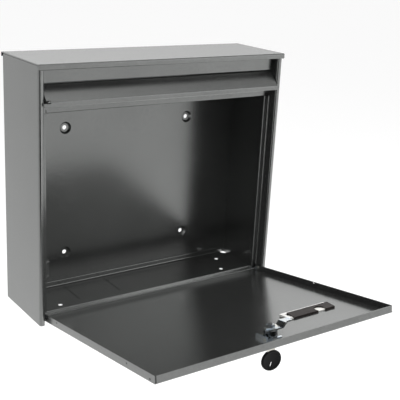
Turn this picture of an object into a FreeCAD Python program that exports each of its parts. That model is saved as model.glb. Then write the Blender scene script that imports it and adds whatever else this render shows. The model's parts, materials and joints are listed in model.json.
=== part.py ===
import FreeCAD, Part
import Sketcher
import os
import re

# Wall mounted mailbox in folded sheet steel, shown with its front door hinged down.
# Own frame: X to the right, Y towards the wall, Z up, origin on the wall plane in the
# middle of the four wall screw holes.  Millimetres.
# Shapes are drawn in a box frame whose origin is the middle of the front bottom edge.

SIZES = {
    # carcass
    "skin": 1.0,              # sheet thickness
    "boxWidth": 362.0,        # over the two side panels
    "boxTall": 326.0,         # side panels, up to the underside of the roof
    "boxDepth": 105.5,        # side panels, front to back
    "wallPlane": 107.5,       # where the four wall pads touch the wall
    "foldWidth": 7.2,         # rounded front edge of a side panel
    "foldRadius": 3.3,
    "rearLap": 12.0,          # side panel's flange behind the back panel
    "jambFront": 14.5,        # depth at which the door frame stands
    "jambWidth": 8.4,
    "frameLow": 10.5,         # top of the sill
    "frameHigh": 266.5,       # underside of the header
    "headerTop": 275.0,
    "beadSize": 6.0,          # hollow edge of the sill
    "beadLean": 1.9,          # its front face leans back by this much
    "beadFront": 14.5,
    "beadSet": 2.0,           # web behind the front of the bead
    "hemReach": 5.0,
    "screwSpanX": 193.0,      # wall screw pattern
    "screwSpanZ": 176.0,
    "screwLow": 48.2,
    "screwBore": 6.0,
    "dimpleMouth": 16.5,
    "dimpleFloor": 11.5,
    "rearUpstand": 9.5,       # floor panel's flange against the back panel
    "drainBore": 6.0,
    "reliefBore": 13.0,
    "creaseWide": 1.3,
    "creaseDeep": 0.55,
    "shelfDeep": 18.0,        # header's shelf, front to back
    "stayUp": 54.0,           # stay bracket above the bottom
    "stayTall": 28.0,
    "stayWide": 8.4,
    "staySkin": 1.2,
    # roof and fascia
    "roofLip": 1.0,           # overhang at the sides
    "roofFront": 2.0,         # overhang at the front
    "roofBack": 1.4,
    "rimDrop": 6.0,           # front rim below the roof's underside
    "rearDrop": 4.5,
    "fasciaWidth": 340.0,
    "fasciaFront": 11.0,
    "fasciaLow": 303.0,
    "fasciaDeep": 14.0,
    "rimHem": 4.0,            # height of the folded-back edges
    # insert flap
    "flapPivotY": 12.0,
    "flapPivotZ": 295.4,
    "flapWidth": 345.0,
    "flapReach": 23.5,         # pivot to lower edge
    "flapSlope": 47.5,        # degrees below horizontal when it hangs shut
    "flapStandOff": 3.0,      # outer face above the pivot line
    "flapRise": 6.2,          # pivot to upper edge
    "flapLip": 5.4,           # height of the upright lip
    "flapEar": 3.4,           # lip beyond the flap at each end
    "flapPin": 3.0,
    # door
    "hingeY": 8.0,
    "hingeZ": 8.4,
    "hingePin": 4.0,
    "doorWidth": 345.0,
    "doorSet": 5.0,           # door's outer face in front of the hinge line
    "doorLow": 6.5,           # door's bottom edge below the hinge line
    "doorHigh": 264.0,        # door's top edge above the hinge line
    "doorDeep": 9.1,          # depth of the door tray
    "doorOpen": 81.0,         # degrees from shut to the drawn position
    "rivetBore": 2.4,
    # lock, measured in the door
    "lockX": 2.5,
    "lockUp": 233.5,
    "barrelSize": 16.4,
    "slotHalf": 7.1,          # centre to the floor of the barrel's clip slots
    "plugSize": 11.0,
    "barrelLong": 9.3,
    "barrelRim": 2.2,
    "clipSkin": 1.2,
    "studSize": 5.0,
    "camLow": 9.5,            # cam's base, in from the door's face
    "camSkin": 1.7,
    "camCrank": 4.4,
    "camWide": 13.0,
    "camLength": 31.0,
    "washerSkin": 0.9,
    "nutTall": 3.6,
    "keyWide": 7.8,
    "shoulderWide": 10.8,
    "keySkin": 2.0,
    "bowSkin": 3.6,
    "bowMiddle": 27.6,
    "bowHalfWide": 14.2,
    "bowHalfTall": 12.2,
    "ringSlot": 6.0,
    # name plate, measured in the door
    "nameX": 95.0,
    "nameUp": 195.0,
    "nameWide": 70.0,
    "nameTall": 20.0,
    "retainerSkin": 0.8,
    "retainerHigh": 4.4,      # sloping face above the door skin, towards the hinge
    "retainerLow": 2.2,
    "windowSkin": 0.9,
    "windowRim": 2.6,
    "thumbSize": 14.0,
}

doc = FreeCAD.newDocument("mailbox")
sheet = doc.addObject("Spreadsheet::Sheet", "sizes")
for row, (word, size) in enumerate(SIZES.items(), start=1):
    sheet.set(f"A{row}", word)
    sheet.set(f"B{row}", str(size))
    sheet.setAlias(f"B{row}", word)
doc.recompute()


def formula(text):
    """An expression with every sheet alias in it written out in full."""

    def full(match):
        word = match.group()
        return "sizes." + word if word in SIZES else word

    return re.sub(r"[A-Za-z]+", full, str(text))


def number(text):
    """The value that an expression of sheet aliases has now."""
    return float(sheet.evalExpression(formula(text)))


def boxPlace(x="0", y="0", z="0"):
    """Placement of a point of the box frame in the part's own frame."""
    return FreeCAD.Placement(
        FreeCAD.Vector(number(x), number(f"({y}) - wallPlane"), number(f"({z}) - screwLow - screwSpanZ / 2")),
        FreeCAD.Rotation(),
    )


def doorPlace():
    """Placement of the hinge line with the door swung down."""
    turn = FreeCAD.Rotation(FreeCAD.Vector(1, 0, 0), number("doorOpen"))
    return boxPlace("0", "hingeY", "hingeZ").multiply(FreeCAD.Placement(FreeCAD.Vector(), turn))


def flapPlace():
    """Placement of the flap's pivot line with the flap hanging shut; its plate lies along -Y."""
    turn = FreeCAD.Rotation(FreeCAD.Vector(1, 0, 0), number("flapSlope"))
    return boxPlace("0", "flapPivotY", "flapPivotZ").multiply(FreeCAD.Placement(FreeCAD.Vector(), turn))


pieces = []


def newBody(name, place):
    body = doc.addObject("PartDesign::Body", name)
    body.Label = name
    body.Placement = place
    pieces.append(body)
    return body


def originPlane(body, role):
    return next(item for item in body.Origin.OriginFeatures if item.Role == role)


# Sketch planes: how sketch (u, v) and the pad direction w lie in the body.
# XY: u = x, v = y, w = z.   XZ: u = x, v = z, w = -y.   YZ: u = y, v = z, w = x.
def outline(body, role, corners, level="0"):
    """A closed outline of straight sides whose corners are pairs of expressions."""
    sketch = body.newObject("Sketcher::SketchObject", f"{body.Name}_outline")
    sketch.AttachmentSupport = [(originPlane(body, role), "")]
    sketch.MapMode = "FlatFace"
    sketch.setExpression("AttachmentOffset.Base.z", formula(level))
    points = [FreeCAD.Vector(number(u), number(v), 0) for u, v in corners]
    count = len(points)
    for index in range(count):
        sketch.addGeometry(Part.LineSegment(points[index], points[(index + 1) % count]))
    for index in range(count):
        sketch.addConstraint(Sketcher.Constraint("Coincident", index, 2, (index + 1) % count, 1))
    for index, (u, v) in enumerate(corners):
        for kind, text, at in (("DistanceX", u, points[index].x), ("DistanceY", v, points[index].y)):
            place = sketch.addConstraint(Sketcher.Constraint(kind, -1, 1, index, 1, at))
            sketch.setExpression(f"Constraints[{place}]", formula(text))
    return sketch


def discs(body, role, centres, diameter, level="0"):
    """Circles of one diameter at pairs of expressions."""
    sketch = body.newObject("Sketcher::SketchObject", f"{body.Name}_discs")
    sketch.AttachmentSupport = [(originPlane(body, role), "")]
    sketch.MapMode = "FlatFace"
    sketch.setExpression("AttachmentOffset.Base.z", formula(level))
    radius = number(diameter) / 2
    for index, (u, v) in enumerate(centres):
        middle = FreeCAD.Vector(number(u), number(v), 0)
        sketch.addGeometry(Part.Circle(middle, FreeCAD.Vector(0, 0, 1), radius))
        wide = sketch.addConstraint(Sketcher.Constraint("Diameter", index, 2 * radius))
        sketch.setExpression(f"Constraints[{wide}]", formula(diameter))
        for kind, text, at in (("DistanceX", u, middle.x), ("DistanceY", v, middle.y)):
            place = sketch.addConstraint(Sketcher.Constraint(kind, -1, 1, index, 3, at))
            sketch.setExpression(f"Constraints[{place}]", formula(text))
    return sketch


def pad(body, sketch, length, both=False):
    feature = body.newObject("PartDesign::Pad", f"{body.Name}_pad")
    feature.Profile = sketch
    feature.setExpression("Length", formula(length))
    feature.Midplane = both
    doc.recompute()
    return feature


def pocket(body, sketch, length, backwards=False):
    """Cut along the sketch's normal, or against it; the volume has to fall."""
    before = body.Shape.Volume
    feature = body.newObject("PartDesign::Pocket", f"{body.Name}_pocket")
    feature.Profile = sketch
    feature.setExpression("Length", formula(length))
    feature.Reversed = not backwards
    doc.recompute()
    if body.Shape.Volume >= before - 0.01:
        raise RuntimeError(f"{body.Name}: {feature.Name} cuts nothing")
    return feature


def boxFeature(body, kind, low, size):
    """An additive or subtractive box from its low corner and its size."""
    feature = body.newObject(f"PartDesign::{kind}Box", f"{body.Name}_{kind}")
    for name, text in zip(("Length", "Width", "Height"), size):
        feature.setExpression(name, formula(text))
    for axis, text in zip("xyz", low):
        feature.setExpression(f"Placement.Base.{axis}", formula(text))
    doc.recompute()
    return feature


def roundEdges(body, spots, radius, along):
    """Fillet the straight edges that run along an axis through the given spots.

    A spot is a pair of expressions in the two other axes, in their X, Y, Z order."""
    others = [axis for axis in range(3) if axis != along]
    wanted = [[number(text) for text in spot] for spot in spots]
    tip = body.Tip
    names = []
    for index, edge in enumerate(tip.Shape.Edges, start=1):
        start, end = edge.Vertexes[0].Point, edge.Vertexes[-1].Point
        if abs((end - start)[along]) < 0.9 * edge.Length or edge.Length < 0.5:
            continue
        here = [start[axis] for axis in others]
        straight = all(abs(end[axis] - start[axis]) < 1e-4 for axis in others)
        if straight and any(max(abs(a - b) for a, b in zip(here, spot)) < 1e-3 for spot in wanted):
            names.append(f"Edge{index}")
    if not names:
        raise RuntimeError(f"{body.Name}: no edge to round")
    feature = body.newObject("PartDesign::Fillet", f"{body.Name}_round")
    feature.Base = (tip, names)
    feature.setExpression("Radius", formula(radius))
    doc.recompute()
    return feature


def sidePanel(name, side):
    """Outer skin, rounded front edge, inner skin and door jamb, folded from one sheet."""
    body = newBody(name, boxPlace())
    half = "boxWidth / 2"
    inner = "boxWidth / 2 - foldWidth"
    edge = "boxWidth / 2 - foldWidth - jambWidth"
    profile = [
        (f"{half} - rearLap", "boxDepth"),
        (half, "boxDepth"),
        (half, "0"),
        (inner, "0"),
        (inner, "jambFront"),
        (edge, "jambFront"),
        (edge, "jambFront + 2 * skin"),
        (f"{edge} + hemReach", "jambFront + 2 * skin"),
        (f"{edge} + hemReach", "jambFront + skin"),
        (f"{inner} + skin", "jambFront + skin"),
        (f"{inner} + skin", "skin"),
        (f"{half} - skin", "skin"),
        (f"{half} - skin", "boxDepth - skin"),
        (f"{half} - rearLap", "boxDepth - skin"),
    ]
    mirrored = [(f"{side} * ({u})", v) for u, v in profile]
    pad(body, outline(body, "XY_Plane", mirrored), "boxTall")

    def corner(u, v):
        return (f"{side} * ({u})", v)

    roundEdges(body, [corner(half, "0"), corner(inner, "0")], "foldRadius", 2)
    inside = [corner(f"{half} - skin", "skin"), corner(f"{inner} + skin", "skin")]
    roundEdges(body, inside, "foldRadius - skin", 2)
    roundEdges(body, [corner(edge, "jambFront"), corner(edge, "jambFront + 2 * skin")], "0.9 * skin", 2)
    bends = [corner(half, "boxDepth"), corner(f"{inner} + skin", "jambFront + skin")]
    roundEdges(body, bends, "1.8 * skin", 2)
    roundEdges(body, [corner(inner, "jambFront")], "1.4 * skin", 2)
    groove = f"{half} - 0.6 * skin" if side > 0 else f"-({half}) - skin"
    boxFeature(body, "Subtractive", (groove, "-1", "boxTall - 1.3"), ("1.6 * skin", "boxDepth + 2", "2"))

    # the jamb stops short of the header and of the sill
    near = f"{edge} - 1" if side > 0 else f"-({inner})"
    for low, tall in (("-1", "frameLow + 1"), ("frameHigh - 0.5", "boxTall - frameHigh + 1")):
        boxFeature(body, "Subtractive", (near, "jambFront - 3", low), ("jambWidth + 1", "3 + 3 * skin", tall))

    # pivot holes through the inner skin only
    reach = f"{inner} + 2 * skin"
    for pin, y, z in (("hingePin", "hingeY", "hingeZ"), ("flapPin", "flapPivotY", "flapPivotZ")):
        hole = discs(body, "YZ_Plane", [(y, z)], f"{pin} + 0.1")
        pocket(body, hole, reach, backwards=side < 0)
    return body


def dimplePlaces():
    heights = ("screwLow", "screwLow + screwSpanZ")
    return [(x, z) for x in ("-screwSpanX / 2", "screwSpanX / 2") for z in heights]


def coneFeature(body, kind, x, y, z, wide, narrow, deep):
    """A cone along +Y that narrows from wide to narrow."""
    feature = body.newObject(f"PartDesign::{kind}Cone", f"{body.Name}_cone")
    feature.setExpression("Radius1", formula(f"({wide}) / 2"))
    feature.setExpression("Radius2", formula(f"({narrow}) / 2"))
    feature.setExpression("Height", formula(deep))
    turn = FreeCAD.Rotation(FreeCAD.Vector(1, 0, 0), -90)
    feature.Placement = FreeCAD.Placement(FreeCAD.Vector(number(x), number(y), number(z)), turn)
    doc.recompute()
    return feature


def backPanel():
    """Rear sheet with four dimples pressed back to the wall, each with a screw hole."""
    body = newBody("back_panel", boxPlace())
    half = "boxWidth / 2 - skin"
    face = "boxDepth - 2 * skin"
    boxFeature(body, "Additive", (f"-({half})", face, "0"), (f"2 * ({half})", "skin", "boxTall"))
    for x, z in dimplePlaces():
        behind = f"{face} + skin"
        depth = f"wallPlane - ({behind})"
        wide, narrow = "dimpleMouth + 2 * skin", "dimpleFloor + 1.6 * skin"
        coneFeature(body, "Additive", x, behind, z, wide, narrow, depth)
        coneFeature(body, "Subtractive", x, face, z, "dimpleMouth", "dimpleFloor", depth)
    bores = discs(body, "XZ_Plane", dimplePlaces(), "screwBore", "-boxDepth - 9")
    pocket(body, bores, "20")
    return body


def floorPanel():
    """Bottom sheet with a rear upstand, drain holes, two relieved corners and shallow creases."""
    body = newBody("floor_panel", boxPlace())
    half = "boxWidth / 2 - skin"
    back = "boxDepth - 2 * skin"
    front = "beadFront + beadSet + skin"
    profile = [
        (front, "0"),
        (back, "0"),
        (back, "rearUpstand"),
        (f"{back} - 2 * skin", "rearUpstand"),
        (f"{back} - 2 * skin", "rearUpstand - 3"),
        (f"{back} - skin", "rearUpstand - 3"),
        (f"{back} - skin", "skin"),
        (front, "skin"),
    ]
    pad(body, outline(body, "YZ_Plane", profile), f"2 * ({half})", both=True)
    roundEdges(body, [(back, "0")], "3 * skin", 0)
    roundEdges(body, [(f"{back} - skin", "skin")], "2 * skin", 0)
    roundEdges(body, [(f"{back} - 2 * skin", "rearUpstand")], "1.4 * skin", 0)
    drains = [("-132", "45"), ("132", "45"), ("149.5", "81"), ("-149.5", "81")]
    pocket(body, discs(body, "XY_Plane", drains, "drainBore", "-1"), "4")
    relief = [(f"{half} - 2", f"{back} - 3"), (f"-({half} - 2)", f"{back} - 3")]
    pocket(body, discs(body, "XY_Plane", relief, "reliefBore", "-1"), "rearUpstand + 2")
    for x in ("-102.5", "-40.5", "101"):
        boxFeature(body, "Subtractive", (x, "48", "skin - creaseDeep"), ("creaseWide", "49", "skin"))
    return body


def sillRail():
    """Bottom rail of the door frame: a leaning bead over a web and a foot."""
    body = newBody("sill_rail", boxPlace())
    web = "beadFront + beadSet"
    back = "beadFront + beadSize"
    low = "frameLow - beadSize"
    profile = [
        ("beadFront", low),
        ("beadFront + beadLean", "frameLow"),
        (back, "frameLow"),
        (back, low),
        (f"{web} + skin", low),
        (f"{web} + skin", "2 * skin"),
        (f"{web} + 12", "2 * skin"),
        (f"{web} + 12", "skin"),
        (f"{web} + skin", "skin"),
        (f"{web} + skin", "0"),
        (web, "0"),
        (web, low),
    ]
    pad(body, outline(body, "YZ_Plane", profile), "boxWidth - 2 * foldWidth", both=True)
    corners = [("beadFront + beadLean", "frameLow"), (back, "frameLow"), (back, low), ("beadFront", low)]
    roundEdges(body, corners, "1.1 * skin", 0)
    return body


def headerRail():
    """Rail over the door opening, hemmed below, with a shelf behind that guides the post."""
    body = newBody("header_rail", boxPlace())
    face = "jambFront"
    profile = [
        (face, "frameHigh"),
        (face, "headerTop"),
        (f"{face} + shelfDeep", "headerTop"),
        (f"{face} + shelfDeep", "headerTop - 6"),
        (f"{face} + shelfDeep - skin", "headerTop - 6"),
        (f"{face} + shelfDeep - skin", "headerTop - skin"),
        (f"{face} + skin", "headerTop - skin"),
        (f"{face} + skin", "frameHigh + hemReach"),
        (f"{face} + 2 * skin", "frameHigh + hemReach"),
        (f"{face} + 2 * skin", "frameHigh"),
    ]
    pad(body, outline(body, "YZ_Plane", profile), "boxWidth - 2 * foldWidth", both=True)
    roundEdges(body, [(face, "frameHigh"), (f"{face} + 2 * skin", "frameHigh")], "0.9 * skin", 0)
    roundEdges(body, [(face, "headerTop"), (f"{face} + shelfDeep", "headerTop")], "1.8 * skin", 0)
    end = "boxWidth / 2 - foldWidth - jambWidth - 0.4"
    for low in (end, f"-({end}) - jambWidth - 1"):
        cut = ("jambWidth + 1", "5", "4.5")
        boxFeature(body, "Subtractive", (low, f"{face} - 1", "frameHigh - 0.5"), cut)
    return body


def fasciaPanel():
    body = newBody("fascia_panel", boxPlace())
    face = "fasciaFront"
    profile = [
        (face, "fasciaLow"),
        (face, "boxTall"),
        (f"{face} + fasciaDeep", "boxTall"),
        (f"{face} + fasciaDeep", "boxTall - skin"),
        (f"{face} + skin", "boxTall - skin"),
        (f"{face} + skin", "fasciaLow + rimHem"),
        (f"{face} + 2 * skin", "fasciaLow + rimHem"),
        (f"{face} + 2 * skin", "fasciaLow"),
    ]
    pad(body, outline(body, "YZ_Plane", profile), "fasciaWidth", both=True)
    roundEdges(body, [(face, "fasciaLow"), (f"{face} + 2 * skin", "fasciaLow")], "0.9 * skin", 0)
    return body


def roofPanel():
    """Flat lid with a front rim and a shorter rear rim."""
    body = newBody("roof", boxPlace())
    front = "-roofFront"
    back = "boxDepth + roofBack"
    top = "boxTall + skin"
    profile = [
        (front, "boxTall - rimDrop"),
        (front, top),
        (back, top),
        (back, "boxTall - rearDrop"),
        (f"{back} - skin", "boxTall - rearDrop"),
        (f"{back} - skin", "boxTall"),
        (f"{front} + skin", "boxTall"),
        (f"{front} + skin", "boxTall - rimDrop + rimHem"),
        (f"{front} + 2 * skin", "boxTall - rimDrop + rimHem"),
        (f"{front} + 2 * skin", "boxTall - rimDrop"),
    ]
    pad(body, outline(body, "YZ_Plane", profile), "boxWidth + 2 * roofLip", both=True)
    roundEdges(body, [(front, top), (back, top)], "1.7 * skin", 0)
    rim = "boxTall - rimDrop"
    roundEdges(body, [(front, rim), (f"{front} + 2 * skin", rim)], "0.95 * skin", 0)
    return body


def stayBracket():
    """Small angle welded to the left jamb, with two holes for the door stay."""
    body = newBody("stay_bracket", boxPlace())
    x = "-boxWidth / 2 + foldWidth + 2.6"
    y = "jambFront - staySkin"
    wing = f"{x} + stayWide - staySkin"
    boxFeature(body, "Additive", (x, y, "stayUp"), ("stayWide", "staySkin", "stayTall"))
    boxFeature(body, "Additive", (wing, y, "stayUp"), ("staySkin", "7.5", "stayTall"))
    holes = [(f"{x} + 2.2", "stayUp + 12"), (f"{x} + 2.2", "stayUp + 16")]
    pocket(body, discs(body, "XZ_Plane", holes, "rivetBore", "-jambFront - 1"), "4")
    return body


def insertFlap():
    """Sloping flap over the slot, with an upright lip that laps the front and two cheeks."""
    body = newBody("insert_flap", flapPlace())
    face = "flapStandOff"
    bend = "-(flapReach - 4)"

    def lip(down, into):
        u = f"{bend} - ({down}) * sin(flapSlope) + ({into}) * cos(flapSlope)"
        return (u, f"{face} - ({down}) * cos(flapSlope) - ({into}) * sin(flapSlope)")

    profile = [
        ("flapRise", f"{face} - skin"),
        ("flapRise", face),
        (bend, face),
        lip("flapLip", "0"),
        lip("flapLip", "skin"),
        (f"{bend} + skin * tan((90 - flapSlope) / 2)", f"{face} - skin"),
    ]
    pad(body, outline(body, "YZ_Plane", profile), "flapWidth", both=True)
    roundEdges(body, [(bend, face)], "1.4 * skin", 0)
    ear = [lip("1.2 * skin", "0"), lip("flapLip", "0"), lip("flapLip", "skin"), lip("1.2 * skin", "skin")]
    pad(body, outline(body, "YZ_Plane", ear), "flapWidth + 2 * flapEar", both=True)
    cheek = [
        ("3", f"{face} - skin + 0.1"),
        ("-17", f"{face} - skin + 0.1"),
        ("-13.2", "-14.8"),
        ("-3.2", "-3.8"),
        ("3", "-3.2"),
    ]
    for level in ("flapWidth / 2 - 4.5", "-flapWidth / 2 + 3.5"):
        pad(body, outline(body, "YZ_Plane", cheek, level), "skin")
    pocket(body, discs(body, "YZ_Plane", [("0", "0")], "flapPin", "-flapWidth / 2"), "flapWidth")
    notch = ("-flapWidth / 2 - 0.2", f"{bend} - 1.2", f"{face} - 2.2")
    boxFeature(body, "Subtractive", notch, ("5.5", "3.6", "3"))
    return body


def cylinder(name, radius, height, x, turn):
    """A Part cylinder that starts at a point of the X axis and follows a rotation."""
    solid = doc.addObject("Part::Cylinder", name)
    solid.setExpression("Radius", formula(radius))
    solid.setExpression("Height", formula(height))
    solid.Placement = FreeCAD.Placement(FreeCAD.Vector(number(x), 0, 0), turn)
    return solid


alongX = FreeCAD.Rotation(FreeCAD.Vector(0, 1, 0), 90)
againstX = FreeCAD.Rotation(FreeCAD.Vector(0, 1, 0), -90)


def pinPair(name, place, diameter, start, length, headSize, headThick):
    """Two headed pins on one line, each pointing outwards, as one group of solids."""
    pins = []
    for side, turn in ((1, alongX), (-1, againstX)):
        shank = cylinder(f"{name}_shank", f"{diameter} / 2", length, f"{side} * ({start})", turn)
        headAt = f"{side} * ({start} - ({headThick}))"
        head = cylinder(f"{name}_head", f"({headSize}) / 2", headThick, headAt, turn)
        pin = doc.addObject("Part::Fuse", f"{name}_pin")
        pin.Base = shank
        pin.Tool = head
        pins.append(pin)
    group = doc.addObject("Part::Compound", name)
    group.Label = name
    group.Links = pins
    group.Placement = place
    pieces.append(group)
    return group


def doorPanel():
    """Door tray: outer skin with a turned-in flange on every side."""
    body = newBody("door_panel", doorPlace())
    half = "doorWidth / 2"
    outer = "-doorSet"
    skinLow = (f"-({half})", outer, "-doorLow")
    boxFeature(body, "Additive", skinLow, ("doorWidth", "skin", "doorLow + doorHigh"))
    sideTall = "doorHigh - 1.2 + 3.5"
    for low in (f"-({half})", f"{half} - skin"):
        boxFeature(body, "Additive", (low, outer, "-3.5"), ("skin", "doorDeep", sideTall))
    topWide = "doorWidth - 2 * skin - 1.2"
    left = f"-({topWide}) / 2"
    boxFeature(body, "Additive", (left, outer, "doorHigh - skin"), (topWide, "doorDeep", "skin"))
    boxFeature(body, "Additive", (left, outer, "-doorLow"), (topWide, "3", "skin"))
    roundEdges(body, [(outer, "doorHigh"), (outer, "-doorLow")], "0.9 * skin", 0)

    lockHole = discs(body, "XZ_Plane", [("lockX", "lockUp")], "barrelSize + 0.2", "doorSet - 2")
    pocket(body, lockHole, "4")
    window = ("nameWide - 8", "3", "nameTall - 4")
    corner = ("nameX - (nameWide - 8) / 2", f"{outer} - 1", "nameUp - (nameTall - 4) / 2")
    boxFeature(body, "Subtractive", corner, window)
    pinHoles = discs(body, "YZ_Plane", [("0", "0")], "hingePin", f"-({half}) - 1")
    pocket(body, pinHoles, "doorWidth + 2")
    leftSpots = [("1.1", "36.5"), ("0.4", "207"), ("-2.3", "254")]
    leftHoles = discs(body, "YZ_Plane", leftSpots, "rivetBore", f"-({half}) - 1")
    pocket(body, leftHoles, "3")
    rightHole = discs(body, "YZ_Plane", [("2.4", "122.5")], "rivetBore", f"{half} - 2")
    pocket(body, rightHole, "4")
    return body


def lockPlace():
    """Lock axis: local Z points into the box from the door's outer face, X to the right."""
    turn = FreeCAD.Rotation(FreeCAD.Vector(1, 0, 0), -90)
    middle = FreeCAD.Vector(number("lockX"), number("-doorSet"), number("lockUp"))
    return doorPlace().multiply(FreeCAD.Placement(middle, turn))


def lockBarrel():
    body = newBody("lock_barrel", lockPlace())
    pad(body, discs(body, "XY_Plane", [("0", "0")], "barrelSize + 4.8", "-barrelRim"), "barrelRim")
    pad(body, discs(body, "XY_Plane", [("0", "0")], "barrelSize"), "barrelLong")
    pocket(body, discs(body, "XY_Plane", [("0", "0")], "plugSize + 0.1", "-3"), "14")
    for low in ("slotHalf", "-slotHalf - 3"):
        boxFeature(body, "Subtractive", ("-10", low, "skin"), ("20", "3", "2"))
    return body


def lockClip():
    """Forked spring plate that slides on the barrel's two slots."""
    body = newBody("lock_clip", lockPlace())
    left = "-barrelSize / 2 - 5"
    boxFeature(body, "Additive", (left, "-11", "skin"), ("barrelSize + 6", "22", "clipSkin"))
    boxFeature(body, "Additive", (left, "-11", "skin"), ("clipSkin", "22", "4.6"))
    fork = "slotHalf + 0.05"
    mouth = ("-barrelSize / 2 - 0.1", f"-({fork})", "0")
    boxFeature(body, "Subtractive", mouth, ("barrelSize + 20", f"2 * ({fork})", "4"))
    roundEdges(body, [("barrelSize / 2 + 1", "11"), ("barrelSize / 2 + 1", "-11")], "2", 2)
    return body


def lockPlug():
    """Turning core with its keyway, a square end for the cam and a threaded stud."""
    body = newBody("lock_plug", lockPlace())
    pad(body, discs(body, "XY_Plane", [("0", "0")], "plugSize", "-2.4"), "11.9")
    boxFeature(body, "Additive", ("-3.5", "-3.5", "9"), ("7", "7", "2.2"))
    pad(body, discs(body, "XY_Plane", [("0", "0")], "studSize", "11"), "5.6")
    boxFeature(body, "Subtractive", ("-4.1", "-1.15", "-3"), ("8.2", "2.3", "10"))
    return body


def lockCam():
    """Cranked cam, drawn unlocked with its arm pointing right."""
    body = newBody("lock_cam", lockPlace())
    profile = [
        ("-8", "camLow"),
        ("14.5", "camLow"),
        ("18.6", "camLow + camCrank"),
        ("camLength", "camLow + camCrank"),
        ("camLength", "camLow + camCrank + camSkin"),
        ("17.8", "camLow + camCrank + camSkin"),
        ("13.7", "camLow + camSkin"),
        ("-8", "camLow + camSkin"),
    ]
    half = "camWide / 2"
    pad(body, outline(body, "XZ_Plane", profile), "camWide", both=True)
    roundEdges(body, [("-8", half), ("-8", f"-{half}")], "6.2", 2)
    boxFeature(body, "Subtractive", ("20", f"-{half} - 0.5", "camLow - 0.5"), ("camLength", "3.5", "8"))
    roundEdges(body, [("camLength", half), ("camLength", f"3 - {half}")], "2.5", 2)
    boxFeature(body, "Subtractive", ("-3.55", "-3.55", "9"), ("7.1", "7.1", "3"))
    return body


def camWasher():
    body = newBody("cam_washer", lockPlace())
    pad(body, discs(body, "XY_Plane", [("0", "0")], "12", "camLow + camSkin"), "washerSkin")
    pocket(body, discs(body, "XY_Plane", [("0", "0")], "studSize + 0.1", "camLow + 1"), "4")
    return body


def camNut():
    body = newBody("cam_nut", lockPlace())
    pad(body, outline(body, "XY_Plane", hexagon("4.6"), "camLow + camSkin + washerSkin"), "nutTall")
    pocket(body, discs(body, "XY_Plane", [("0", "0")], "studSize + 0.1", "camLow + camSkin"), "6")
    return body


def hexagon(halfFlats):
    """Corners of a hexagon that is given by half its width across flats."""
    corner = f"{halfFlats} / cos(30)"
    return [(f"{corner} * cos({60 * k + 15})", f"{corner} * sin({60 * k + 15})") for k in range(6)]


def keyBlade():
    body = newBody("key_blade", lockPlace())
    side = "-keySkin / 2"
    boxFeature(body, "Additive", ("-keyWide / 2", side, "-20"), ("keyWide", "keySkin", "26.5"))
    boxFeature(body, "Additive", ("-shoulderWide / 2", side, "-20"), ("shoulderWide", "keySkin", "14.5"))
    for index, depth in enumerate((1.4, 0.8, 1.8, 1.0)):
        low = (f"keyWide / 2 - {depth}", "-keySkin", f"{-3.2 + 2.4 * index}")
        boxFeature(body, "Subtractive", low, ("3", "4", "1.3"))
    return body


def keyBow():
    """Oval moulded head round the end of the blade, with a slot for a ring."""
    body = newBody("key_bow", lockPlace())
    sketch = body.newObject("Sketcher::SketchObject", "key_bow_oval")
    sketch.AttachmentSupport = [(originPlane(body, "XZ_Plane"), "")]
    sketch.MapMode = "FlatFace"
    middle = FreeCAD.Vector(0, -number("bowMiddle"), 0)
    wide = middle + FreeCAD.Vector(number("bowHalfWide"), 0, 0)
    tall = middle + FreeCAD.Vector(0, number("bowHalfTall"), 0)
    sketch.addGeometry(Part.Ellipse(wide, tall, middle))
    pad(body, sketch, "bowSkin", both=True)
    roundEdgesAll(body, "bowSkin / 4")
    boxFeature(body, "Subtractive", ("-3.6", "-bowSkin", "-36.2"), ("3.6", "2 * bowSkin", "ringSlot"))
    blade = ("-shoulderWide / 2", "-keySkin / 2", "-20")
    boxFeature(body, "Subtractive", blade, ("shoulderWide", "keySkin", "6"))
    return body


def roundEdgesAll(body, radius):
    """Fillet every edge longer than a few centimetres."""
    tip = body.Tip
    names = [f"Edge{k}" for k, edge in enumerate(tip.Shape.Edges, start=1) if edge.Length > 20]
    feature = body.newObject("PartDesign::Fillet", f"{body.Name}_round")
    feature.Base = (tip, names)
    feature.setExpression("Radius", formula(radius))
    doc.recompute()
    return feature


def nameWindow():
    """Clear strip behind the window, with a raised rim along one edge and round one end."""
    body = newBody("name_window", doorPlace())
    left = "nameX - nameWide / 2 - 3"
    level = "-doorSet + skin"
    low = "nameUp - nameTall / 2"
    boxFeature(body, "Additive", (left, level, low), ("nameWide + 4", "windowSkin", "nameTall - 1.2"))
    boxFeature(body, "Additive", (left, level, low), ("nameWide + 4", "windowRim", "4.6"))
    boxFeature(body, "Additive", (left, level, low), ("5.6", "2.2", "nameTall - 1.2"))
    return body


def nameCard():
    body = newBody("name_card", doorPlace())
    low = ("nameX - nameWide / 2 + 5", "-doorSet + skin + windowSkin", "nameUp - nameTall / 2 + 6.6")
    boxFeature(body, "Additive", low, ("nameWide - 6", "0.3", "nameTall - 8.6"))
    return body


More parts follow.
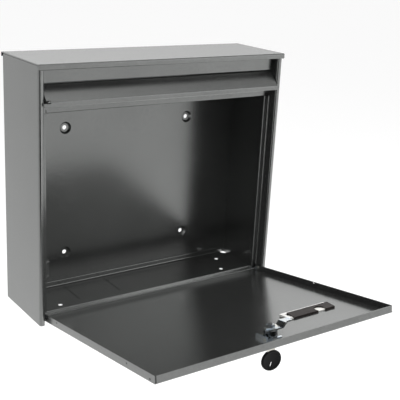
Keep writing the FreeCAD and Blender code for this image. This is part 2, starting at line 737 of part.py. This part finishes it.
def nameRetainer():
    """Sloping channel over the card, open at both ends, with a thumb notch in one edge."""
    body = newBody("name_retainer", doorPlace())
    level = "-doorSet + skin"
    low = "nameUp - nameTall / 2 + 5.5"
    high = "nameUp + nameTall / 2"
    wall = "retainerSkin"
    profile = [
        (f"{level} + windowSkin", low),
        (f"{level} + retainerHigh", low),
        (f"{level} + retainerLow", high),
        (level, high),
        (level, f"{high} - {wall}"),
        (f"{level} + retainerLow - {wall}", f"{high} - {wall}"),
        (f"{level} + retainerHigh - {wall}", f"{low} + {wall}"),
        (f"{level} + windowSkin", f"{low} + {wall}"),
    ]
    middle = "nameX + 2.75"
    pad(body, outline(body, "YZ_Plane", profile, middle), "nameWide - 2.5", both=True)
    thumb = discs(body, "XZ_Plane", [("nameX + 14.5", "nameUp + 6")], "thumbSize", "doorSet - skin - 6")
    pocket(body, thumb, "7")
    return body


sidePanel("left_side", -1)
sidePanel("right_side", 1)
backPanel()
floorPanel()
sillRail()
headerRail()
fasciaPanel()
roofPanel()
stayBracket()
insertFlap()
pinPair("flap_pins", flapPlace(), "flapPin", "flapWidth / 2 - 4.5", "7.2", "3.8", "skin")
doorPanel()
pinPair("hinge_pins", doorPlace(), "hingePin", "doorWidth / 2 - skin", "4.2", "7", "1.2")
lockBarrel()
lockClip()
lockPlug()
lockCam()
camWasher()
camNut()
keyBlade()
keyBow()
nameWindow()
nameCard()
nameRetainer()
doc.recompute()

for item in doc.Objects:
    if "Invalid" in item.State or "Error" in item.State:
        raise RuntimeError(f"{item.Name} failed: {item.State}")
os.makedirs("parts", exist_ok=True)
for piece in pieces:
    shape = piece.Shape
    if shape.isNull() or not shape.isValid():
        raise RuntimeError(f"{piece.Label}: bad shape")
    shape.exportStep(f"parts/{piece.Label}.step")
    print(piece.Label, len(shape.Solids), "solids", round(shape.Volume, 1), "mm3")
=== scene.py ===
import bpy
import bmesh
import json
import math
from mathutils import Matrix, Vector


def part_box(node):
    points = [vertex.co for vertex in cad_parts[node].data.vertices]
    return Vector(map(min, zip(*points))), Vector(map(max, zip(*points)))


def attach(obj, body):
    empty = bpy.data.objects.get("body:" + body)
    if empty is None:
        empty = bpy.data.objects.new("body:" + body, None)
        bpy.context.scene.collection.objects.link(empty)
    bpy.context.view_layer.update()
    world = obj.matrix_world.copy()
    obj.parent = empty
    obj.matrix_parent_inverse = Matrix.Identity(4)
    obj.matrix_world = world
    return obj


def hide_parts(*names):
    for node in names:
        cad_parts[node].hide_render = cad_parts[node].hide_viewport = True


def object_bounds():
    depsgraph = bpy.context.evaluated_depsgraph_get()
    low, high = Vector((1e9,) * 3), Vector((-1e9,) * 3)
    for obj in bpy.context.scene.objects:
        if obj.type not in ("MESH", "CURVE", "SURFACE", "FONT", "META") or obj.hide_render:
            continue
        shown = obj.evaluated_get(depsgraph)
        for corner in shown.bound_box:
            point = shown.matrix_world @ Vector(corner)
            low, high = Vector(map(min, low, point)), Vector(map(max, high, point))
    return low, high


# Wall mounted mailbox in grey metallic powder coat, its front door hinged down.

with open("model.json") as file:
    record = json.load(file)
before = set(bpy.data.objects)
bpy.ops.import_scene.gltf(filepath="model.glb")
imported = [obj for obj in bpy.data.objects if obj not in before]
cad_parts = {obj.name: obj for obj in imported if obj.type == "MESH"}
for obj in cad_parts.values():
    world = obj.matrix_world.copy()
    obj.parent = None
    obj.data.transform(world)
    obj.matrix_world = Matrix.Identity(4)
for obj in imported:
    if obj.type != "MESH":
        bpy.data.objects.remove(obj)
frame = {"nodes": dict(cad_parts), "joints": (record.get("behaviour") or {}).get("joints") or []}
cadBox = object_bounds()
cad = frame["nodes"]
print("frame loaded:", len(cad), "nodes")

# camera
shot = {
    "place": (-0.57328, -0.97339, 0.33787),
    "yaw": 35.91,      # degrees right of straight ahead
    "pitch": -17.68,
    "roll": 3.12,
    "lens": 74.40,     # millimetres, on the usual 36 mm sensor
    "near": 0.05,
    "far": 40.0,
}


def makeCamera(shot):
    yaw, pitch, roll = (math.radians(shot[word]) for word in ("yaw", "pitch", "roll"))
    ahead = Vector((math.sin(yaw) * math.cos(pitch), math.cos(yaw) * math.cos(pitch), math.sin(pitch)))
    level = Vector((math.cos(yaw), -math.sin(yaw), 0))
    upright = level.cross(ahead)
    right = math.cos(roll) * level + math.sin(roll) * upright
    up = math.cos(roll) * upright - math.sin(roll) * level
    turn = Matrix((right, up, -ahead)).transposed()
    camera = bpy.data.objects.new("camera", bpy.data.cameras.new("camera"))
    camera.data.lens = shot["lens"]
    camera.data.clip_start = shot["near"]
    camera.data.clip_end = shot["far"]
    camera.matrix_world = Matrix.Translation(shot["place"]) @ turn.to_4x4()
    bpy.context.scene.collection.objects.link(camera)
    bpy.context.scene.camera = camera


makeCamera(shot)
print("camera placed")


# small helpers
def newMaterial(name):
    material = bpy.data.materials.new(name)
    material.use_nodes = True
    return material, material.node_tree.nodes, material.node_tree.links


def addNode(nodes, kind, inputs=None, **settings):
    node = nodes.new(kind)
    for word, setting in settings.items():
        setattr(node, word, setting)
    for word, value in (inputs or {}).items():
        node.inputs[word].default_value = value
    return node


def noise(nodes, links, place, scale, detail=2.0, rough=0.5):
    texture = addNode(nodes, "ShaderNodeTexNoise", {"Scale": scale, "Detail": detail, "Roughness": rough})
    links.new(place.outputs["Object"], texture.inputs["Vector"])
    return texture.outputs["Fac"]


def spread(nodes, links, value, low, high, start=0.3, end=0.7):
    span = addNode(nodes, "ShaderNodeMapRange",
                   {"From Min": start, "From Max": end, "To Min": low, "To Max": high})
    links.new(value, span.inputs["Value"])
    return span.outputs["Result"]


def blendColours(nodes, links, value, first, second, start=0.3, end=0.7):
    ramp = nodes.new("ShaderNodeValToRGB")
    ramp.color_ramp.elements[0].position = start
    ramp.color_ramp.elements[0].color = first
    ramp.color_ramp.elements[1].position = end
    ramp.color_ramp.elements[1].color = second
    links.new(value, ramp.inputs["Fac"])
    return ramp.outputs["Color"]


def average(nodes, links, first, second, share):
    mix = addNode(nodes, "ShaderNodeMix", data_type="FLOAT")
    mix.inputs[0].default_value = share
    links.new(first, mix.inputs[2])
    links.new(second, mix.inputs[3])
    return mix.outputs[0]


def bumps(nodes, links, shader, layers):
    normal = None
    for height, strength, deep in layers:
        bump = addNode(nodes, "ShaderNodeBump", {"Strength": strength, "Distance": deep})
        links.new(height, bump.inputs["Height"])
        if normal:
            links.new(normal, bump.inputs["Normal"])
        normal = bump.outputs["Normal"]
    links.new(normal, shader.inputs["Normal"])


# floor and light
studio = {
    "drop": 0.42,          # floor below the lowest part
    "floorSize": 120.0,
    "floorColour": (0.94, 0.94, 0.94, 1),
    "floorGlow": 0.14,
    # strength of the surroundings in front of the box and behind it, by the sine of the elevation
    "skyFront": [(0.0, 1.15), (0.03, 1.1), (0.10, 1.7), (0.24, 0.5), (0.45, 1.2), (0.74, 0.52), (1.0, 1.4)],
    "skyBack": [(0.0, 1.15), (0.03, 0.7), (0.10, 0.3), (0.24, 1.95), (0.45, 0.3), (0.74, 0.52), (1.0, 1.4)],
    "skyMost": 3.0,
}

# glow is the brightness of the lamp's own face
lamps = {
    "rightBox": {"at": (1.35, -0.75, -0.30), "aim": (0.1, 0, 0), "size": (0.8, 0.9), "glow": 0.9},
    "frontBox": {"at": (0.02, -1.6, -0.42), "aim": (0, 0, 0), "size": (0.3, 0.7), "glow": 2.3},
    "beadBox": {"at": (1.0, -1.45, 0.20), "aim": (0, -0.1, -0.13), "size": (0.7, 0.24), "glow": 1.8},
    "topBox": {"at": (0.1, -0.55, 1.7), "aim": (0, -0.3, 0), "size": (1.2, 0.7), "glow": 8.0,
               "mirrored": False},
}

# dark cloths that show only in reflections
flags = {
    "lowFlag": {"at": (-0.86, -1.12, -0.33), "aim": (-0.17, -0.1, -0.02), "size": (2.4, 1.3)},
}


def makeFloor(studio, low):
    half = studio["floorSize"] / 2
    level = low - studio["drop"]
    corners = [(-half, -half, level), (half, -half, level), (half, half, level), (-half, half, level)]
    mesh = bpy.data.meshes.new("floor")
    mesh.from_pydata(corners, [], [(0, 1, 2, 3)])
    floor = bpy.data.objects.new("floor", mesh)
    bpy.context.scene.collection.objects.link(floor)
    material = newMaterial("paleFloor")[0]
    shader = material.node_tree.nodes["Principled BSDF"]
    shader.inputs["Base Color"].default_value = studio["floorColour"]
    shader.inputs["Roughness"].default_value = 0.9
    shader.inputs["Specular IOR Level"].default_value = 0.0
    shader.inputs["Emission Color"].default_value = (1, 1, 1, 1)
    shader.inputs["Emission Strength"].default_value = studio["floorGlow"]
    mesh.materials.append(material)


def makeSurroundings(studio):
    world = bpy.data.worlds.new("studio")
    world.use_nodes = True
    nodes, links = world.node_tree.nodes, world.node_tree.links
    place = nodes.new("ShaderNodeTexCoord")
    parts = nodes.new("ShaderNodeSeparateXYZ")
    links.new(place.outputs["Generated"], parts.inputs["Vector"])
    blend = addNode(nodes, "ShaderNodeMix", data_type="RGBA")
    links.new(spread(nodes, links, parts.outputs["Y"], 0, 1, -0.8, 0.8), blend.inputs[0])
    for way, socket in (("skyFront", 6), ("skyBack", 7)):
        ramp = nodes.new("ShaderNodeValToRGB")
        elements = ramp.color_ramp.elements
        while len(elements) < len(studio[way]):
            elements.new(0.5)
        for element, (height, strength) in zip(elements, studio[way]):
            element.position = height
            element.color = [strength / studio["skyMost"]] * 3 + [1]
        links.new(parts.outputs["Z"], ramp.inputs["Fac"])
        links.new(ramp.outputs["Color"], blend.inputs[socket])
    links.new(blend.outputs[2], nodes["Background"].inputs["Color"])
    nodes["Background"].inputs["Strength"].default_value = studio["skyMost"]
    bpy.context.scene.world = world


def turnTowards(at, aim):
    return (Vector(aim) - Vector(at)).to_track_quat("-Z", "Y")


def makeLamps(lamps):
    for name, facts in lamps.items():
        light = bpy.data.lights.new(name, "AREA")
        light.shape = "RECTANGLE"
        light.size, light.size_y = facts["size"]
        light.energy = facts["glow"] * math.pi * light.size * light.size_y
        lamp = bpy.data.objects.new(name, light)
        lamp.location = facts["at"]
        lamp.rotation_euler = turnTowards(facts["at"], facts["aim"]).to_euler()
        lamp.visible_camera = False
        lamp.visible_glossy = facts.get("mirrored", True)
        bpy.context.scene.collection.objects.link(lamp)


def softCloth(name, at, turn, wide, tall):
    # dark in the middle, fading out towards an oval edge
    material, nodes, links = newMaterial(name)
    place = nodes.new("ShaderNodeTexCoord")
    fit = {"Location": at, "Rotation": turn.to_euler(), "Scale": (wide, tall, 1)}
    centre = addNode(nodes, "ShaderNodeMapping", fit, vector_type="TEXTURE")
    fade = addNode(nodes, "ShaderNodeTexGradient", gradient_type="SPHERICAL")
    links.new(place.outputs["Object"], centre.inputs["Vector"])
    links.new(centre.outputs["Vector"], fade.inputs["Vector"])
    shader = nodes["Principled BSDF"]
    shader.inputs["Base Color"].default_value = (0.01, 0.01, 0.01, 1)
    shader.inputs["Roughness"].default_value = 1.0
    shader.inputs["Specular IOR Level"].default_value = 0.0
    links.new(spread(nodes, links, fade.outputs["Fac"], 0.0, 1.0, 0.0, 0.5), shader.inputs["Alpha"])
    return material


def makeFlags(flags):
    for name, facts in flags.items():
        wide, tall = (length / 2 for length in facts["size"])
        turn = turnTowards(facts["at"], facts["aim"])
        material = softCloth(name + "Cloth", facts["at"], turn, wide, tall)
        corners = [turn @ Vector((x, y, 0)) + Vector(facts["at"])
                   for x, y in ((-wide, -tall), (wide, -tall), (wide, tall), (-wide, tall))]
        mesh = bpy.data.meshes.new(name)
        mesh.from_pydata(corners, [], [(0, 1, 2, 3)])
        mesh.materials.append(material)
        flag = bpy.data.objects.new(name, mesh)
        flag.visible_camera = False
        flag.visible_diffuse = False
        flag.visible_shadow = False
        flag.visible_transmission = False
        bpy.context.scene.collection.objects.link(flag)


makeFloor(studio, cadBox[0].z)
makeSurroundings(studio)
makeLamps(lamps)
makeFlags(flags)
bpy.context.scene.view_settings.view_transform = "Standard"
print("studio lit")


# finishes
coat = {
    "dark": (0.168, 0.172, 0.169, 1),
    "light": (0.206, 0.211, 0.207, 1),
    "metallic": 0.92,
    "flake": 1500,       # metal flakes, per metre
    "mottle": 260,       # soft unevenness of the sprayed coat
    "cloud": 14,
    "smooth": 0.19,
    "rough": 0.25,
    "flakeBump": (0.16, 0.0001),
    "mottleBump": (0.08, 0.0004),
}


def powderCoat(coat):
    material, nodes, links = newMaterial("powderCoat")
    shader = nodes["Principled BSDF"]
    shader.inputs["Metallic"].default_value = coat["metallic"]
    place = nodes.new("ShaderNodeTexCoord")
    flake = noise(nodes, links, place, coat["flake"], 3.0, 0.65)
    mottle = noise(nodes, links, place, coat["mottle"], 3.0, 0.6)
    cloud = noise(nodes, links, place, coat["cloud"], 3.0, 0.5)
    tone = average(nodes, links, average(nodes, links, mottle, flake, 0.5), cloud, 0.25)
    colour = blendColours(nodes, links, tone, coat["dark"], coat["light"], 0.38, 0.62)
    links.new(colour, shader.inputs["Base Color"])
    gloss = average(nodes, links, cloud, mottle, 0.5)
    links.new(spread(nodes, links, gloss, coat["smooth"], coat["rough"]), shader.inputs["Roughness"])
    bumps(nodes, links, shader, [(flake, *coat["flakeBump"]), (mottle, *coat["mottleBump"])])
    return material


# each plated or turned metal: two tones, its roughness, and fine marks per metre
metals = {
    "zincPlate": ((0.44, 0.51, 0.60, 1), (0.62, 0.62, 0.58, 1), 0.17, 1600),
    "barrelMetal": ((0.10, 0.11, 0.115, 1), (0.20, 0.20, 0.205, 1), 0.14, 1800),
    "keyNickel": ((0.55, 0.53, 0.49, 1), (0.68, 0.66, 0.61, 1), 0.2, 2200),
}
filmScale = 110


def platedMetal(name, first, second, rough, scratch):
    material, nodes, links = newMaterial(name)
    shader = nodes["Principled BSDF"]
    shader.inputs["Metallic"].default_value = 1.0
    place = nodes.new("ShaderNodeTexCoord")
    film = noise(nodes, links, place, filmScale, 2.0)
    fine = noise(nodes, links, place, scratch, 4.0, 0.7)
    links.new(blendColours(nodes, links, film, first, second, 0.35, 0.65), shader.inputs["Base Color"])
    links.new(spread(nodes, links, fine, rough * 0.7, rough * 1.4), shader.inputs["Roughness"])
    bumps(nodes, links, shader, [(fine, 0.10, 0.00008)])
    return material


# each moulded plastic: two tones, its roughness, grain per metre and specular level
plastics = {
    "keyPlastic": ((0.004, 0.004, 0.004, 1), (0.008, 0.008, 0.009, 1), 0.42, 2600, 0.08),
    "holderBlack": ((0.012, 0.008, 0.007, 1), (0.022, 0.016, 0.014, 1), 0.16, 1800, 0.25),
}
cloudScale = 60


def mouldedPlastic(name, first, second, rough, grain, specular):
    material, nodes, links = newMaterial(name)
    shader = nodes["Principled BSDF"]
    shader.inputs["Specular IOR Level"].default_value = specular
    place = nodes.new("ShaderNodeTexCoord")
    fine = noise(nodes, links, place, grain, 2.0)
    wide = noise(nodes, links, place, cloudScale, 2.0)
    links.new(blendColours(nodes, links, wide, first, second), shader.inputs["Base Color"])
    links.new(spread(nodes, links, fine, rough * 0.8, rough * 1.25), shader.inputs["Roughness"])
    bumps(nodes, links, shader, [(fine, 0.14, 0.00012)])
    return material


# scratched clear strip over the name card
clear = {
    "dull": (0.80, 0.79, 0.76, 1),
    "bright": (0.90, 0.90, 0.88, 1),
    "ior": 1.49,
    "through": 0.25,       # share of light let through
    "varnish": 0.6,
    "varnishRough": 0.06,
    "haze": 300,
}


def clearPlastic(clear):
    material, nodes, links = newMaterial("clearWindow")
    shader = nodes["Principled BSDF"]
    shader.inputs["IOR"].default_value = clear["ior"]
    shader.inputs["Transmission Weight"].default_value = clear["through"]
    shader.inputs["Coat Weight"].default_value = clear["varnish"]
    shader.inputs["Coat Roughness"].default_value = clear["varnishRough"]
    place = nodes.new("ShaderNodeTexCoord")
    haze = noise(nodes, links, place, clear["haze"], 3.0)
    links.new(blendColours(nodes, links, haze, clear["dull"], clear["bright"]), shader.inputs["Base Color"])
    links.new(spread(nodes, links, haze, 0.05, 0.16), shader.inputs["Roughness"])
    bumps(nodes, links, shader, [(haze, 0.05, 0.0002)])
    return material


card = {
    "dark": (0.70, 0.69, 0.65, 1),
    "light": (0.86, 0.85, 0.82, 1),
    "fibre": 1400,
    "stain": 40,
}


def cardPaper(card):
    material, nodes, links = newMaterial("cardPaper")
    shader = nodes["Principled BSDF"]
    shader.inputs["Specular IOR Level"].default_value = 0.2
    place = nodes.new("ShaderNodeTexCoord")
    fibre = noise(nodes, links, place, card["fibre"], 4.0, 0.7)
    stain = noise(nodes, links, place, card["stain"], 2.0)
    tone = average(nodes, links, fibre, stain, 0.4)
    links.new(blendColours(nodes, links, tone, card["dark"], card["light"]), shader.inputs["Base Color"])
    links.new(spread(nodes, links, fibre, 0.75, 0.95), shader.inputs["Roughness"])
    bumps(nodes, links, shader, [(fibre, 0.2, 0.00006)])
    return material


paint = powderCoat(coat)
zinc, barrelMetal, nickel = (platedMetal(name, *facts) for name, facts in metals.items())
blackPlastic, holderPlastic = (mouldedPlastic(name, *facts) for name, facts in plastics.items())
window = clearPlastic(clear)
paper = cardPaper(card)

dressing = {
    paint: ["left_side", "right_side", "back_panel", "floor_panel", "sill_rail", "header_rail",
            "fascia_panel", "roof", "stay_bracket", "insert_flap", "door_panel"],
    zinc: ["flap_pins", "hinge_pins", "lock_clip", "lock_cam", "cam_washer", "cam_nut"],
    barrelMetal: ["lock_barrel", "lock_plug"],
    nickel: ["key_blade"],
    holderPlastic: ["name_retainer"],
    window: ["name_window"],
    paper: ["name_card"],
}
for material, names in dressing.items():
    for name in names:
        cad[name].data.materials.clear()
        cad[name].data.materials.append(material)
print("finishes set")


# moulded head of the key, in place of the plain oval of the frame
keyHead = {
    "steps": 88,
    # how far in from the outline, and how far out from the middle plane
    "profile": [(0.0, 0.0), (0.0, 0.0009), (0.00012, 0.00131), (0.00045, 0.00164), (0.0009, 0.0018),
                (0.0023, 0.0018), (0.0026, 0.00172), (0.0029, 0.00135), (0.0032, 0.00125)],
    "slotWide": 0.0032,
    "slotTall": 0.0066,
    "slotAt": (-0.0010, -0.0046),   # from the middle, across and outwards
    "slotLean": 24.0,
    "bladeWide": 0.0110,
    "bladeThick": 0.0021,
    "bladeDeep": 0.0065,
    "punchReach": 0.01,             # how far a punch sticks out of the head
    "crease": 32.0,                 # edges sharper than this stay sharp
}


def meshFrom(name, points, faces):
    mesh = bpy.data.meshes.new(name)
    mesh.from_pydata([tuple(point) for point in points], [], faces)
    mesh.validate()
    thing = bpy.data.objects.new(name, mesh)
    bpy.context.scene.collection.objects.link(thing)
    return thing


def ovalStack(name, halfWide, halfTall, profile, steps):
    # rings from the middle of the back face, over the rim, to the middle of the front face
    rows = [(inset, -out) for inset, out in reversed(profile)] + list(profile[1:])
    points = []
    for inset, out in rows:
        for step in range(steps):
            angle = 2 * math.pi * step / steps
            points.append(((halfWide - inset) * math.cos(angle), out, (halfTall - inset) * math.sin(angle)))
    faces = []
    for row in range(len(rows) - 1):
        for step in range(steps):
            low, after = row * steps + step, row * steps + (step + 1) % steps
            faces.append((low, after, after + steps, low + steps))
    last = (len(rows) - 1) * steps
    faces.append(tuple(reversed(range(steps))))
    faces.append(tuple(range(last, last + steps)))
    return meshFrom(name, points, faces)


def stadium(name, wide, tall, deep, middle, lean, steps=12):
    # a slot-shaped punch that runs along Y
    turn = Matrix.Rotation(lean, 4, "Y")
    rim = []
    for end, start in ((1, 0), (-1, math.pi)):
        for step in range(steps + 1):
            angle = start + math.pi * step / steps
            across, along = wide / 2 * math.cos(angle), wide / 2 * math.sin(angle)
            rim.append(Vector((across, 0, end * (tall - wide) / 2 + along)))
    points = [turn @ spot + middle + Vector((0, out, 0)) for out in (-deep, deep) for spot in rim]
    count = len(rim)
    faces = [(k, (k + 1) % count, (k + 1) % count + count, k + count) for k in range(count)]
    faces += [tuple(reversed(range(count))), tuple(range(count, 2 * count))]
    return meshFrom(name, points, faces)


def block(name, low, high):
    points = [(x, y, z) for x in (low[0], high[0]) for y in (low[1], high[1]) for z in (low[2], high[2])]
    faces = [(0, 1, 3, 2), (4, 6, 7, 5), (0, 4, 5, 1), (2, 3, 7, 6), (0, 2, 6, 4), (1, 5, 7, 3)]
    return meshFrom(name, points, faces)


def outwards(thing):
    shape = bmesh.new()
    shape.from_mesh(thing.data)
    bmesh.ops.remove_doubles(shape, verts=shape.verts, dist=1e-7)
    bmesh.ops.recalc_face_normals(shape, faces=shape.faces)
    shape.to_mesh(thing.data)
    shape.free()


def bake(thing):
    # the result of the modifiers as a plain mesh
    ready = thing.evaluated_get(bpy.context.evaluated_depsgraph_get())
    result = bpy.data.meshes.new_from_object(ready)
    thing.modifiers.clear()
    thing.data = result


def cutAway(thing, tool):
    outwards(tool)
    cut = thing.modifiers.new("cut", "BOOLEAN")
    cut.operation = "DIFFERENCE"
    cut.solver = "EXACT"
    cut.object = tool
    bake(thing)
    bpy.data.objects.remove(tool)


def makeKeyHead(facts):
    low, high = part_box("key_bow")
    axis = next(Vector(joint["axis"]) for joint in frame["joints"] if joint["name"] == "key_slide")
    inward, across = -axis.normalized(), Vector((1, 0, 0))
    through = inward.cross(across)
    seat = Matrix((across, through, inward)).transposed().to_4x4()
    middle = (Vector(low) + Vector(high)) / 2
    corners = [seat.inverted() @ (vertex.co - middle) for vertex in cad["key_bow"].data.vertices]
    halfWide, halfTall = (max(abs(spot[k]) for spot in corners) for k in (0, 2))
    head = ovalStack("keyHead", halfWide, halfTall, facts["profile"], facts["steps"])
    outwards(head)
    spot = Vector((facts["slotAt"][0], 0, facts["slotAt"][1]))
    lean = math.radians(facts["slotLean"])
    reach = facts["punchReach"]
    cutAway(head, stadium("slotPunch", facts["slotWide"], facts["slotTall"], reach, spot, lean))
    wide, thick = facts["bladeWide"] / 2, facts["bladeThick"] / 2
    low, high = (-wide, -thick, halfTall - facts["bladeDeep"]), (wide, thick, halfTall + reach)
    cutAway(head, block("bladePunch", low, high))
    head.data.transform(Matrix.Translation(middle) @ seat)
    outwards(head)
    for face in head.data.polygons:
        face.use_smooth = True
    head.data.set_sharp_from_angle(angle=math.radians(facts["crease"]))
    head.data.materials.clear()
    head.data.materials.append(blackPlastic)
    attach(head, "key")
    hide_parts("key_bow")
    print("key head:", len(head.data.polygons), "faces")


makeKeyHead(keyHead)


# low, round spot welds along the seams of the folded sheets
welds = {
    "gap": 0.038,
    "size": 0.0026,      # radius
    "proud": 0.00028,
    "unevenness": 0.22,
    "seed": 11,
    "margin": 0.014,     # from the end of a seam to its first weld
    "lapMiddle": 0.0062,   # middle of the rear lap, in from the side
    "footBack": 0.005,   # in from the rear edge of the sill's foot
    "footTop": 0.002,    # top of that foot above its underside
    "stayAcross": 0.0066,
    "stayEnds": (0.005, 0.004),
}


def weldTree():
    tree = bpy.data.node_groups.new("spotWelds", "GeometryNodeTree")
    face = tree.interface
    face.new_socket("Geometry", in_out="INPUT", socket_type="NodeSocketGeometry")
    kinds = {"Gap": "Float", "Size": "Float", "Proud": "Float", "Unevenness": "Float", "Seed": "Int",
             "Finish": "Material"}
    for word, kind in kinds.items():
        face.new_socket(word, in_out="INPUT", socket_type="NodeSocket" + kind)
    face.new_socket("Geometry", in_out="OUTPUT", socket_type="NodeSocketGeometry")
    nodes, links = tree.nodes, tree.links
    given, result = nodes.new("NodeGroupInput"), nodes.new("NodeGroupOutput")

    # one weld every gap along each seam
    seams = nodes.new("GeometryNodeMeshToCurve")
    spaced = addNode(nodes, "GeometryNodeResampleCurve", mode="LENGTH")
    spots = addNode(nodes, "GeometryNodeCurveToPoints", mode="EVALUATED")
    links.new(given.outputs["Geometry"], seams.inputs["Mesh"])
    links.new(seams.outputs["Curve"], spaced.inputs["Curve"])
    links.new(given.outputs["Gap"], spaced.inputs["Length"])
    links.new(spaced.outputs["Curve"], spots.inputs["Curve"])

    # a flattened half-sunk button, as proud as it should be in its own Z
    button = addNode(nodes, "GeometryNodeMeshUVSphere", {"Segments": 18, "Rings": 8, "Radius": 1.0})
    shape = nodes.new("ShaderNodeCombineXYZ")
    links.new(given.outputs["Size"], shape.inputs["X"])
    links.new(given.outputs["Size"], shape.inputs["Y"])
    links.new(given.outputs["Proud"], shape.inputs["Z"])
    pressed = nodes.new("GeometryNodeTransform")
    links.new(button.outputs["Mesh"], pressed.inputs["Geometry"])
    links.new(shape.outputs["Vector"], pressed.inputs["Scale"])

    # each weld full size or a little smaller, turned to face its seam's own way
    least = addNode(nodes, "ShaderNodeMath", operation="SUBTRACT")
    least.inputs[0].default_value = 1.0
    links.new(given.outputs["Unevenness"], least.inputs[1])
    chance = addNode(nodes, "FunctionNodeRandomValue", data_type="FLOAT")
    chance.inputs[3].default_value = 1.0
    links.new(least.outputs[0], chance.inputs[2])
    links.new(given.outputs["Seed"], chance.inputs["Seed"])
    facing = nodes.new("GeometryNodeInputNamedAttribute")
    facing.data_type = "FLOAT_VECTOR"
    facing.inputs["Name"].default_value = "facing"
    aligned = addNode(nodes, "FunctionNodeAlignRotationToVector", axis="Z")
    links.new(facing.outputs["Attribute"], aligned.inputs["Vector"])
    placed = nodes.new("GeometryNodeInstanceOnPoints")
    links.new(spots.outputs["Points"], placed.inputs["Points"])
    links.new(pressed.outputs["Geometry"], placed.inputs["Instance"])
    links.new(aligned.outputs["Rotation"], placed.inputs["Rotation"])
    links.new(chance.outputs[1], placed.inputs["Scale"])

    real = nodes.new("GeometryNodeRealizeInstances")
    painted = nodes.new("GeometryNodeSetMaterial")
    smooth = nodes.new("GeometryNodeSetShadeSmooth")
    links.new(placed.outputs["Instances"], smooth.inputs["Geometry"])
    links.new(smooth.outputs["Geometry"], real.inputs["Geometry"])
    links.new(real.outputs["Geometry"], painted.inputs["Geometry"])
    links.new(given.outputs["Finish"], painted.inputs["Material"])
    links.new(painted.outputs["Geometry"], result.inputs["Geometry"])
    return tree


def runTree(thing, tree, values):
    modifier = thing.modifiers.new(tree.name, "NODES")
    modifier.node_group = tree
    items = tree.interface.items_tree
    sockets = {item.name: item.identifier for item in items if item.in_out == "INPUT"}
    for word, value in values.items():
        modifier[sockets[word]] = value
    bake(thing)


def seamLines(name, seams):
    # one edge for each seam, with the way its welds face kept on the points
    points = [spot for start, end, facing in seams for spot in (start, end)]
    mesh = bpy.data.meshes.new(name)
    mesh.from_pydata(points, [(2 * k, 2 * k + 1) for k in range(len(seams))], [])
    ways = mesh.attributes.new("facing", "FLOAT_VECTOR", "POINT")
    for k, (start, end, facing) in enumerate(seams):
        ways.data[2 * k].vector = facing
        ways.data[2 * k + 1].vector = facing
    thing = bpy.data.objects.new(name, mesh)
    bpy.context.scene.collection.objects.link(thing)
    return thing


def makeWelds(facts):
    margin = facts["margin"]
    seams = []
    for side, sign in (("left_side", 1), ("right_side", -1)):
        low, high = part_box(side)
        outer = low.x if sign > 0 else high.x
        line = outer + sign * facts["lapMiddle"]
        seams.append(((line, high.y, low.z + margin), (line, high.y, high.z - margin), (0, 1, 0)))
    low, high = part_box("sill_rail")
    foot, top = high.y - facts["footBack"], low.z + facts["footTop"]
    seams.append(((low.x + margin, foot, top), (high.x - margin, foot, top), (0, 0, 1)))
    low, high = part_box("stay_bracket")
    line = low.x + facts["stayAcross"]
    start, end = low.z + facts["stayEnds"][0], high.z - facts["stayEnds"][1]
    seams.append(((line, low.y, start), (line, low.y, end), (0, -1, 0)))
    buttons = seamLines("spotWelds", seams)
    values = {word.capitalize(): facts[word] for word in ("gap", "size", "proud", "unevenness", "seed")}
    runTree(buttons, weldTree(), {**values, "Finish": paint})
    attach(buttons, "cabinet")
    print("spot welds:", len(buttons.data.polygons), "faces")


makeWelds(welds)
